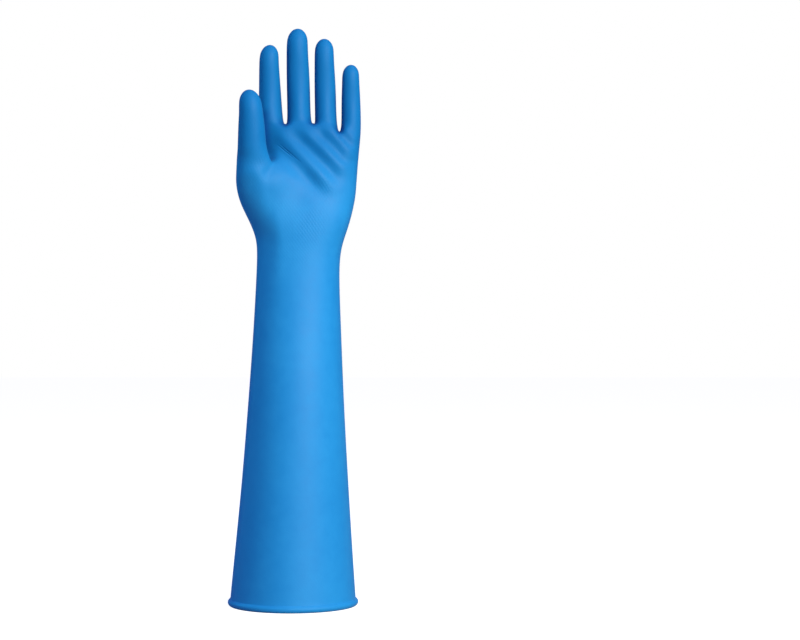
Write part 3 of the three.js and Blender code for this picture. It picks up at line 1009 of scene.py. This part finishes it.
@dataclass(frozen=True)
class NitrileFinish:
    """The finish of the dipped film: satin blue rubber with a fine embossed diamond grip.

    Args:
        name: the material's name.
        deep: the colour where the film lies thick.
        clear: the colour where it is stretched thin.
        hand: the colour of the fingers, darker than the sleeve's.
        roughness: how matt it is.
        emboss: the height of the diamonds, in metres, or 0 for none.
        cell: the width and height of one diamond, in millimetres.
        rib_power: how flat the diamonds are on top.
        emboss_strength: how much of their relief shows.
        thick: the heights between which the colour darkens to the fingers' colour, in metres.
        thickest: how much of the fingers' colour there is at most.
        creases: thin creases in the film.
        patches: where the grip stands out more than elsewhere.
        pool: where shade is painted into the colour, or none.
        painted_shade: the colour of the painted shade.
        painted_shade_share: how much of that colour there is at most.
        refraction: the film's index of refraction.
        gloss: the strength of its gloss on the sleeve.
        gloss_lost: how much less that is where the fingers' colour is fullest.
        sheen: the strength of the soft light along its outline.
        sheen_roughness: how widely that spreads.
        sheen_tint: its colour.
        drift: the number to a metre of the wide clouds in the colour.
        cloud: the number to a metre of the narrow ones.
        cloud_share: how much the narrow clouds count.
        cloudy: the clouds' values that give the two colours.
        grip_drift: the wide clouds' values at which the grip is weakest and strongest.
        grip_height: how much of its height it has there.
        matt_cloud: the narrow clouds' values at which the roughness is least and greatest.
        matt_range: how far it goes to both sides.
        grains: the unevenness of the surface.
    """

    name: str
    deep: tuple[float, float, float]
    clear: tuple[float, float, float]
    hand: tuple[float, float, float]
    roughness: float
    emboss: float
    cell: tuple[float, float] = (3.1, 4.4)
    rib_power: float = 0.7
    emboss_strength: float = 0.8
    thick: tuple[float, float] = (0.385, 0.45)
    thickest: float = 0.95
    creases: tuple[Crease, ...] = ()
    patches: tuple[GripPatch, ...] = ()
    # Painted shade: a darker colour in the crotches and between the fingers, where shade falls.
    pool: PaintedCrotchShade | None = None
    painted_shade: tuple[float, float, float] = (0.002, 0.065, 0.24)
    painted_shade_share: float = 0.9
    refraction: float = 1.5
    gloss: float = 0.2
    gloss_lost: float = 0.08
    sheen: float = 0.05
    sheen_roughness: float = 0.45
    sheen_tint: tuple[float, float, float] = (0.45, 0.75, 1.0)
    drift: float = 14.0
    cloud: float = 95.0
    cloud_share: float = 0.35
    cloudy: tuple[float, float] = (0.35, 0.65)
    grip_drift: tuple[float, float] = (0.5, 0.64)
    grip_height: tuple[float, float] = (0.16, 0.5)
    matt_cloud: tuple[float, float] = (0.3, 0.7)
    matt_range: tuple[float, float] = (-0.04, 0.05)
    grains: tuple[Grain, ...] = (Grain(1400.0, 0.10, 0.00006), Grain(42.0, 0.35, 0.0006))

    def material(self) -> Material:
        """Builds the material's nodes.

        Returns:
            The material.
        """
        made = bpy.data.materials.new(self.name)
        made.use_nodes = True
        sheet = NodeSheet(made.node_tree)
        shader = sheet.tree.nodes["Principled BSDF"]
        sheet.set_inputs(
            shader,
            {
                "Metallic": 0.0,
                "IOR": self.refraction,
                "Sheen Weight": self.sheen,
                "Sheen Roughness": self.sheen_roughness,
                "Sheen Tint": (*self.sheen_tint, 1.0),
            },
        )
        place = sheet.node("ShaderNodeTexCoord").outputs["Object"]
        parts = sheet.node("ShaderNodeSeparateXYZ")
        sheet.link(place, parts.inputs[0])
        drift = sheet.noise(place, scale=self.drift, detail=3.0, rough=0.55)
        cloud = sheet.noise(place, scale=self.cloud, detail=4.0, rough=0.6)
        # Darker towards the fingers: the colour goes to the fingers' colour up the hand.
        thick = sheet.ranged(parts.outputs["Z"], *self.thick, 0.0, self.thickest)
        gloss = sheet.maths("MULTIPLY_ADD", thick, -self.gloss_lost, self.gloss)
        lowest, highest = (self.roughness + change for change in self.matt_range)
        matt = sheet.ranged(cloud, *self.matt_cloud, lowest, highest)
        sheet.link(gloss, shader.inputs["Specular IOR Level"])
        sheet.link(matt, shader.inputs["Roughness"])
        sheet.link(self._colour(sheet, drift, cloud, thick), shader.inputs["Base Color"])
        sheet.link(self._relief(sheet, place, parts, drift), shader.inputs["Normal"])
        return made

    def _colour(self, sheet: NodeSheet, drift: Socket, cloud: Socket, thick: Socket) -> Socket:
        """Mixes the film's colour.

        It goes from deep to clear with the clouds, to the fingers' darker colour up the hand, and
        to a painted shade in the crotches and between the fingers, where shade falls.

        Args:
            sheet: the material's nodes.
            drift: the wide clouds.
            cloud: the narrow clouds.
            thick: how much of the fingers' colour there is.

        Returns:
            The colour.
        """
        tone = sheet.weighed(drift, 1.0 - self.cloud_share, cloud, self.cloud_share)
        clouds = sheet.ranged(tone, *self.cloudy, 0.0, 1.0)
        colour = sheet.blend(thick, sheet.blend(clouds, self.deep, self.clear), self.hand)
        # Painted shade: the colour darkens in the crotches and between the fingers, where shade
        # falls.
        if self.pool is not None:
            shade_attribute = sheet.node("ShaderNodeAttribute", attribute_name=self.pool.attribute)
            share = sheet.maths("MULTIPLY", shade_attribute.outputs["Fac"], self.painted_shade_share)
            colour = sheet.blend(share, colour, self.painted_shade)
        return colour

    def _relief(self, sheet: NodeSheet, place: Socket, parts: Node, drift: Socket) -> Socket:
        """Lays the film's fine reliefs over one another: the grains, the grip and the creases.

        Args:
            sheet: the material's nodes.
            place: the place on the glove.
            parts: the node that gives its x, y and z.
            drift: the wide clouds, which make the grip patchy.

        Returns:
            The surface's normal.
        """
        surface = None
        for grain in self.grains:
            clouds = sheet.noise(place, scale=grain.scale, detail=2.0, rough=0.5)
            surface = sheet.bump(clouds, grain.strength, grain.height, surface)
        if self.emboss > 0.0:
            diamonds = self._diamonds(sheet)
            patchy = sheet.ranged(drift, *self.grip_drift, *self.grip_height)
            for patch in self.patches:
                patchy = patch.add_to(patchy, sheet, parts)
            height = sheet.maths("MULTIPLY", diamonds, patchy)
            surface = sheet.bump(height, self.emboss_strength, self.emboss, surface)
        for crease in self.creases:
            dent = crease.relief(sheet, parts)
            surface = sheet.bump(dent, strength=1.0, distance=crease.depth, under=surface)
        return surface

    def _diamonds(self, sheet: NodeSheet) -> Socket:
        """Makes the embossed pattern.

        It is the product of two slanting rows of ribs, each the size of a sine to a power.

        Args:
            sheet: the material's nodes.

        Returns:
            A height from 0 to 1.
        """
        film = sheet.node("ShaderNodeUVMap", uv_map="film").outputs["UV"]
        split = sheet.node("ShaderNodeSeparateXYZ")
        sheet.link(film, split.inputs[0])
        across = sheet.maths("MULTIPLY", split.outputs["X"], math.pi / self.cell[0])
        along = sheet.maths("MULTIPLY", split.outputs["Y"], math.pi / self.cell[1])
        ribs = []
        for kind in ("ADD", "SUBTRACT"):
            wave = sheet.maths("SINE", sheet.maths(kind, across, along))
            ribs.append(sheet.maths("POWER", sheet.maths("ABSOLUTE", wave), self.rib_power))
        return sheet.maths("MULTIPLY", *ribs)


class NodeSheet:
    """Lays out the nodes of one material and links them."""

    def __init__(self, tree: bpy.types.NodeTree) -> None:
        """Starts on a node tree."""
        self.tree = tree

    def node(self, kind: str, **settings: object) -> Node:
        """Adds a node.

        Args:
            kind: the node's type.
            settings: its settings, by name.

        Returns:
            The node.
        """
        made = self.tree.nodes.new(kind)
        for key, value in settings.items():
            setattr(made, key, value)
        return made

    def link(self, output: Socket, socket: Socket) -> None:
        """Joins an output to an input."""
        self.tree.links.new(output, socket)

    def set_inputs(self, node: Node, values: dict[str, object]) -> None:
        """Sets inputs of a node by name."""
        for name, value in values.items():
            node.inputs[name].default_value = value

    def maths(self, kind: str, *values: object) -> Socket:
        """Does one sum on sockets and numbers.

        Args:
            kind: the Math node's operation.
            values: its inputs, each a socket or a number.

        Returns:
            The result's socket.
        """
        made = self.node("ShaderNodeMath", operation=kind)
        for socket, value in zip(made.inputs, values):
            if isinstance(value, (int, float)):
                socket.default_value = value
            else:
                self.link(value, socket)
        return made.outputs[0]

    def weighed(self, a: Socket, a_weight: float, b: Socket, b_weight: float) -> Socket:
        """The sum of two values, each times its weight."""
        return self.maths("MULTIPLY_ADD", b, b_weight, self.maths("MULTIPLY", a, a_weight))

    def bell(self, square: Socket, width: float = 1.0) -> Socket:
        """A bell curve: e to the power of minus a squared distance over the width squared."""
        return self.maths("EXPONENT", self.maths("MULTIPLY", square, -1.0 / width**2))

    def blend(self, share: Socket, a: object, b: object) -> Socket:
        """Mixes two colours.

        Args:
            share: how much of the second there is.
            a: the first, as a socket or as three numbers.
            b: the second, likewise.

        Returns:
            The mixed colour.
        """
        made = self.node("ShaderNodeMix", data_type="RGBA")
        self.link(share, made.inputs["Factor"])
        for name, colour in (("A", a), ("B", b)):
            if isinstance(colour, tuple):
                made.inputs[name].default_value = (*colour, 1.0)
            else:
                self.link(colour, made.inputs[name])
        return made.outputs["Result"]

    def noise(self, place: Socket, scale: float, detail: float, rough: float) -> Socket:
        """Makes cloudy noise.

        Args:
            place: where it is read.
            scale: how many clouds there are to a unit.
            detail: how many finer layers it has.
            rough: how much each of them counts.

        Returns:
            A value from 0 to 1.
        """
        made = self.node("ShaderNodeTexNoise")
        self.link(place, made.inputs["Vector"])
        self.set_inputs(made, {"Scale": scale, "Detail": detail, "Roughness": rough})
        return made.outputs["Fac"]

    def ranged(
        self, value: Socket, low: float, high: float, to_low: float, to_high: float
    ) -> Socket:
        """Maps a value from one range to another and keeps it inside.

        Args:
            value: the value.
            low: where the first range starts.
            high: where it ends.
            to_low: what its start becomes.
            to_high: what its end becomes.

        Returns:
            The new value.
        """
        made = self.node("ShaderNodeMapRange", clamp=True)
        self.link(value, made.inputs["Value"])
        names = ("From Min", "From Max", "To Min", "To Max")
        self.set_inputs(made, dict(zip(names, (low, high, to_low, to_high))))
        return made.outputs["Result"]

    def bump(
        self, height: Socket, strength: float, distance: float, under: Socket | None
    ) -> Socket:
        """Raises the surface.

        Args:
            height: a height from 0 to 1.
            strength: how much of it shows.
            distance: what a height of 1 stands for, in metres.
            under: a relief that is already there, or none.

        Returns:
            The surface's normal.
        """
        made = self.node("ShaderNodeBump")
        self.set_inputs(made, {"Strength": strength, "Distance": distance})
        self.link(height, made.inputs["Height"])
        if under is not None:
            self.link(under, made.inputs["Normal"])
        return made.outputs["Normal"]


OUTSIDE = NitrileFinish(
    name="nitrile_outside",
    deep=(0.011, 0.232, 0.49),
    clear=(0.016, 0.268, 0.53),
    hand=(0.004, 0.158, 0.365),
    roughness=0.53,
    emboss=0.00010,
    creases=(
        Crease((-0.0155, 0.4475), (0.0045, 0.4310)),
        Crease((-0.0130, 0.4480), (0.0100, 0.4280)),
    ),
    patches=(
        GripPatch((0.021, 0.368), 0.015, 2.0),
        GripPatch((0.031, 0.408), 0.011, 1.6),
        GripPatch((-0.024, 0.428), 0.007, 1.6),
        GripPatch((0.044, 0.440), 0.009, 0.5),
    ),
    # Painted shade in the crotches and between the fingers.
    pool=PaintedCrotchShade(),
)
INSIDE = NitrileFinish(
    name="nitrile_inside",
    deep=(0.03, 0.25, 0.56),
    clear=(0.04, 0.29, 0.61),
    hand=(0.03, 0.25, 0.56),
    roughness=0.62,
    emboss=0.0,
)


@dataclass
class Glove:
    """The whole glove: its cage, its skin outside and inside, and its rolled cuff.

    Args:
        body: the sleeve and the hand.
        thumb: the ball of the thumb and its crotch.
        palm: the palm's folds.
        cuff: the rolled edge.
        thumb_turn: the turn of the thumb's first column.
        film: the film's thickness.
        splits: how many times the cage is split.
    """

    body: SleeveAndHand = field(default_factory=SleeveAndHand)
    thumb: Thumb = field(default_factory=Thumb)
    palm: Palm = field(default_factory=Palm)
    cuff: RolledCuff = field(default_factory=RolledCuff)
    thumb_turn: float = 10.0
    film: float = 1.0
    splits: int = 3

    def cage(self) -> QuadMesh:
        """Puts the rings of the sleeve, the hand, the thumb and the fingers together.

        The sleeve's and the palm's rings go round the hand and the ball of the thumb. At the
        thumb's crotch the web parts them: the thumb grows from the outer columns and the web, and
        the fingers from the others and the web.

        Returns:
            The cage.
        """
        cage, body, thumb = Cage(), self.body, self.thumb
        side = body.number("index_side")
        front, seam = body.number("middle_front"), body.number("middle_back")
        crotch_side = np.array(thumb.crotch_side)
        ring = rim = None
        for z in (*body.sleeve_rings, *body.palm_rings):
            hand = body.on_section(z, crotch_side)
            ball = thumb.ball(z, body.sections)
            if z == body.palm_rings[-1]:
                hand[0], hand[side] = thumb.crotch_front, crotch_side
                ball[:, 2] = thumb.root_low + thumb.root_rise * np.linspace(1, 0, thumb.columns)
            upper = cage.add(np.concatenate([hand, ball]), front, seam)
            if ring is None:
                rim = upper.numbers
            else:
                cage.join(ring, upper)
            ring = upper

        web = cage.add(np.array([thumb.crotch_middle]))
        last = len(ring.numbers)
        thumb_root = ring.picked([0, last, *range(side, last)], web, front=6, seam=1)
        Digit(THUMB, self.thumb_turn).build(cage, thumb_root)
        start = ring = ring.picked([*range(side + 1), last], web, front, seam)
        for share in body.steps_to_root:
            upper = cage.add(body.to_root(start.points, share), front, seam)
            cage.join(ring, upper)
            ring = upper
        self._fingers(cage, ring)
        return cage.mesh(rim)

    def _fingers(self, cage: Cage, ring: Ring) -> None:
        """Adds the four fingers, which share the ring at their roots and the webs between them.

        Args:
            cage: the cage to add to.
            ring: the ring round the hand at the fingers' roots.
        """
        body, count = self.body, len(ring.numbers)
        gaps = range(1, len(FINGERS))
        places = [
            (body.columns[body.number(f"crotch_{k}_front")].root, 0.0, z)
            for k, z in zip(gaps, body.web_heights)
        ]
        webs = cage.add(np.array(places))
        walls = [body.number("index_side"), *(count + k - 1 for k in gaps)]
        walls.append(body.number("little_side"))
        corners = ["index_corner", *(f"crotch_{k}" for k in gaps), "little_corner"]
        for k, (name, table) in enumerate(FINGERS.items()):
            here, beyond = corners[k], corners[k + 1]
            columns = [f"{beyond}_back", f"{name}_back", f"{here}_back"]
            columns += [f"{here}_front", f"{name}_front", f"{beyond}_front"]
            order = [body.number(column) for column in columns]
            order = [walls[k + 1], *order[:3], walls[k], *order[3:]]
            Digit(table).build(cage, ring.picked(order, webs, front=6, seam=2))

    def skin(self) -> QuadMesh:
        """Makes the film's outside.

        The cage is eased, split finely, put on its smooth surface and folded.

        Returns:
            The skin.
        """
        mesh = self.cage().eased()
        for _ in range(self.splits):
            mesh = mesh.split()
        return self.palm.press(mesh.moved_to(mesh.limits()))

    def build(self) -> Object:
        """Makes the glove's one closed mesh.

        The inside is the skin moved in along its normals by the film's thickness. Both stand on
        the roll, whose rings of points join them.

        Returns:
            The finished object.
        """
        outside = self.skin()
        count, rim = len(outside.points), outside.rim
        first_turn = np.radians(self.body.columns[0].sleeve)
        turns = first_turn + 2 * np.pi * np.arange(len(rim)) / len(rim)
        inner = outside.points - outside.normals() * self.film
        outer = outside.points.copy()
        outer[rim] = self.cuff.film_foot(turns, self.cuff.film_radius)
        inner[rim] = self.cuff.film_foot(turns, self.cuff.film_radius - self.film)
        rolls = self.cuff.rings(turns)
        points = np.concatenate([outer, inner, rolls.reshape(-1, 3)])

        numbers = 2 * count + np.arange(rolls.shape[0] * len(rim)).reshape(rolls.shape[:2])
        stack = np.concatenate([rim[None], numbers, (count + rim)[None]])
        after = np.roll(stack, -1, axis=1)
        bands = np.stack([stack[1:], after[1:], after[:-1], stack[:-1]], axis=-1)
        bands = bands.reshape(-1, 4)
        quads = np.concatenate([outside.quads, outside.quads[:, ::-1] + count, bands])
        rolled = self._cuff_pattern(points[bands])
        pattern = np.concatenate([outside.pattern, outside.pattern[:, ::-1], rolled])
        finish = np.zeros(len(quads), np.int32)
        finish[len(outside.quads) : 2 * len(outside.quads)] = 1
        made = put_mesh("dipped_glove", points * METRES, quads, pattern)
        # Painted shade: how much of the darker colour each point gets, in the crotches and between
        # the fingers.
        shade_attribute = made.data.attributes.new(OUTSIDE.pool.attribute, "FLOAT", "POINT")
        shade_attribute.data.foreach_set("value", OUTSIDE.pool.share(points).astype(np.float32))
        for film in (OUTSIDE, INSIDE):
            made.data.materials.append(film.material())
        made.data.polygons.foreach_set("material_index", finish)
        return made

    def _cuff_pattern(self, places: Array) -> Array:
        """Works out the pattern's coordinates on the roll.

        The first is the turn from -Y times the film's radius, and the second the height. A quad
        whose corners lie on both ends of the first has the far ones counted on from the near ones.

        Args:
            places: the corners of each quad.

        Returns:
            Two coordinates for each corner.
        """
        radius = self.cuff.film_radius
        length = np.arctan2(places[..., 0], -places[..., 1]) * radius
        both_ends = np.ptp(length, axis=1, keepdims=True) > math.pi * radius
        length = length - np.where(both_ends & (length > 0), 2 * np.pi * radius, 0)
        return np.stack([length, places[..., 2]], axis=-1)


def put_mesh(name: str, points: Array, quads: Array, pattern: Array) -> Object:
    """Puts arrays of points and quads into a new smooth-shaded object.

    Args:
        name: the object's name.
        points: places in metres.
        quads: four point numbers for each face.
        pattern: the pattern's coordinates at each face's corners, kept as the UV map film.

    Returns:
        The object, in the scene at the origin.
    """
    mesh = bpy.data.meshes.new(name)
    mesh.vertices.add(len(points))
    mesh.vertices.foreach_set("co", points.astype(np.float32).ravel())
    mesh.loops.add(quads.size)
    mesh.loops.foreach_set("vertex_index", quads.astype(np.int32).ravel())
    mesh.polygons.add(len(quads))
    mesh.polygons.foreach_set("loop_start", np.arange(0, quads.size, 4, dtype=np.int32))
    mesh.polygons.foreach_set("loop_total", np.full(len(quads), 4, np.int32))
    mesh.polygons.foreach_set("use_smooth", np.ones(len(quads), bool))
    layer = mesh.uv_layers.new(name="film")
    layer.data.foreach_set("uv", pattern.astype(np.float32).ravel())
    mesh.update(calc_edges=True)
    mesh.validate()
    made = bpy.data.objects.new(name, mesh)
    bpy.context.scene.collection.objects.link(made)
    return made


@dataclass(frozen=True)
class PaleFloor:
    """The plain white floor, bright enough all over to meet the white room behind it.

    Args:
        half_width: half of its width, in metres.
        albedo: how much light its paper throws back.
        glow: how brightly it shines towards the lens.
    """

    half_width: float = 8.0
    albedo: float = 0.35
    glow: float = 0.975

    def build(self) -> Object:
        """Lays one wide level square.

        Returns:
            The floor.
        """
        corners = np.array([[-1, -1, 0], [1, -1, 0], [1, 1, 0], [-1, 1, 0]]) * self.half_width
        quads = np.array([[0, 1, 2, 3]])
        made = put_mesh("pale_floor", corners, quads, corners[quads][..., :2])
        made.data.materials.append(self._paper())
        return made

    def _paper(self) -> Material:
        """Makes matt white paper, which shines towards the lens alone so that it stays white.

        Returns:
            The material.
        """
        made = bpy.data.materials.new("white_paper")
        made.use_nodes = True
        sheet = NodeSheet(made.node_tree)
        shader = sheet.tree.nodes["Principled BSDF"]
        sheet.set_inputs(
            shader,
            {
                "Base Color": (self.albedo, self.albedo, self.albedo, 1.0),
                "Roughness": 1.0,
                "Specular IOR Level": 0.0,
                "Emission Color": (1.0, 1.0, 1.0, 1.0),
            },
        )
        seen = sheet.node("ShaderNodeLightPath").outputs["Is Camera Ray"]
        sheet.link(sheet.maths("MULTIPLY", seen, self.glow), shader.inputs["Emission Strength"])
        return made


@dataclass(frozen=True)
class SoftLamp:
    """A soft rectangular lamp.

    Args:
        name: the lamp's name.
        azimuth: where it stands, in degrees from the camera's side towards +X.
        elevation: how high above the level, in degrees.
        distance: how far from the target, in metres.
        size: its width and height, in metres.
        watts: its power.
        tint: the colour of its light.
        target: the point that it is aimed at.
    """

    name: str
    azimuth: float
    elevation: float
    distance: float
    size: tuple[float, float]
    watts: float
    tint: tuple[float, float, float] = (1.0, 1.0, 1.0)
    target: tuple[float, float, float] = (0.0, 0.0, 0.28)

    def build(self) -> Object:
        """Makes the lamp and turns it to its target.

        Returns:
            The lamp.
        """
        lamp = bpy.data.lights.new(self.name, "AREA")
        lamp.shape = "RECTANGLE"
        lamp.size, lamp.size_y = self.size
        lamp.energy = self.watts
        lamp.color = self.tint
        around, up = math.radians(self.azimuth), math.radians(self.elevation)
        level = math.cos(up)
        away = Vector((math.sin(around) * level, -math.cos(around) * level, math.sin(up)))
        made = bpy.data.objects.new(self.name, lamp)
        made.location = Vector(self.target) + away * self.distance
        made.rotation_euler = (-away).to_track_quat("-Z", "Y").to_euler()
        bpy.context.scene.collection.objects.link(made)
        return made


@dataclass(frozen=True)
class Studio:
    """The photograph's light: large soft lamps at the right, and a room that is white behind.

    A blue-green lamp behind the left side gives that side its thin bright edge.

    Args:
        lamps: the lamps.
        shade: the colour of the room's dim light from the front and the sides.
        backdrop: how brightly the room's far wall shines.
        behind: the y of a direction at which the far wall starts and is complete.
        seen: how bright the room looks to the camera.
    """

    lamps: tuple[SoftLamp, ...] = (
        SoftLamp("key", 32.0, 22.0, 2.6, (1.6, 1.3), 88.0),
        SoftLamp("top", 60.0, 68.0, 2.6, (1.6, 1.3), 16.0),
        SoftLamp("left_rim", -118.0, 12.0, 2.0, (0.6, 1.4), 14.0, (0.05, 0.68, 1.0)),
    )
    shade: tuple[float, float, float] = (0.0, 0.01, 0.37)
    backdrop: float = 0.4
    behind: tuple[float, float] = (0.75, 0.97)
    seen: float = 1.0

    def build(self) -> None:
        """Sets the lamps and the room."""
        for lamp in self.lamps:
            lamp.build()
        world = bpy.data.worlds.new("white_room")
        world.use_nodes = True
        bpy.context.scene.world = world
        sheet = NodeSheet(world.node_tree)
        toward = sheet.node("ShaderNodeTexCoord").outputs["Generated"]
        split = sheet.node("ShaderNodeSeparateXYZ")
        sheet.link(toward, split.inputs[0])
        wall = sheet.ranged(split.outputs["Y"], *self.behind, 0.0, 1.0)
        light = sheet.blend(wall, self.shade, (self.backdrop,) * 3)
        camera_ray = sheet.node("ShaderNodeLightPath").outputs["Is Camera Ray"]
        look = sheet.blend(camera_ray, light, (self.seen,) * 3)
        sheet.link(look, sheet.tree.nodes["Background"].inputs["Color"])
        bpy.context.scene.view_settings.view_transform = "Standard"


@dataclass(frozen=True)
class PhotoCamera:
    """The camera where the photograph's stood, level with the middle of the glove.

    Args:
        place: where it stands, in metres.
        lens: its focal length, in millimetres.
        sensor: its sensor's width, in millimetres.
        clip: the nearest and the farthest that it sees, in metres.
    """

    place: tuple[float, float, float] = (0.1041, -2.02, 0.2773)
    lens: float = 93.34
    sensor: float = 36.0
    clip: tuple[float, float] = (0.05, 30.0)

    def build(self) -> None:
        """Makes the camera look level along +Y."""
        lens = bpy.data.cameras.new("photo_camera")
        lens.lens = self.lens
        lens.sensor_width = self.sensor
        lens.clip_start, lens.clip_end = self.clip
        made = bpy.data.objects.new("photo_camera", lens)
        made.location = self.place
        made.rotation_euler = (math.pi / 2, 0.0, 0.0)
        bpy.context.scene.collection.objects.link(made)
        bpy.context.scene.camera = made


def main() -> None:
    """Builds the glove and its studio in order."""
    PhotoCamera().build()
    LOG.info("camera set")
    glove = Glove().build()
    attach(glove, "root")
    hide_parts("glove")
    LOG.info("%s: %d faces", glove.name, len(glove.data.polygons))
    floor = PaleFloor().build()
    LOG.info("%s laid", floor.name)
    Studio().build()
    LOG.info("lamps lit")


if __name__ == "__main__":
    logging.basicConfig(level=logging.INFO)
    main()
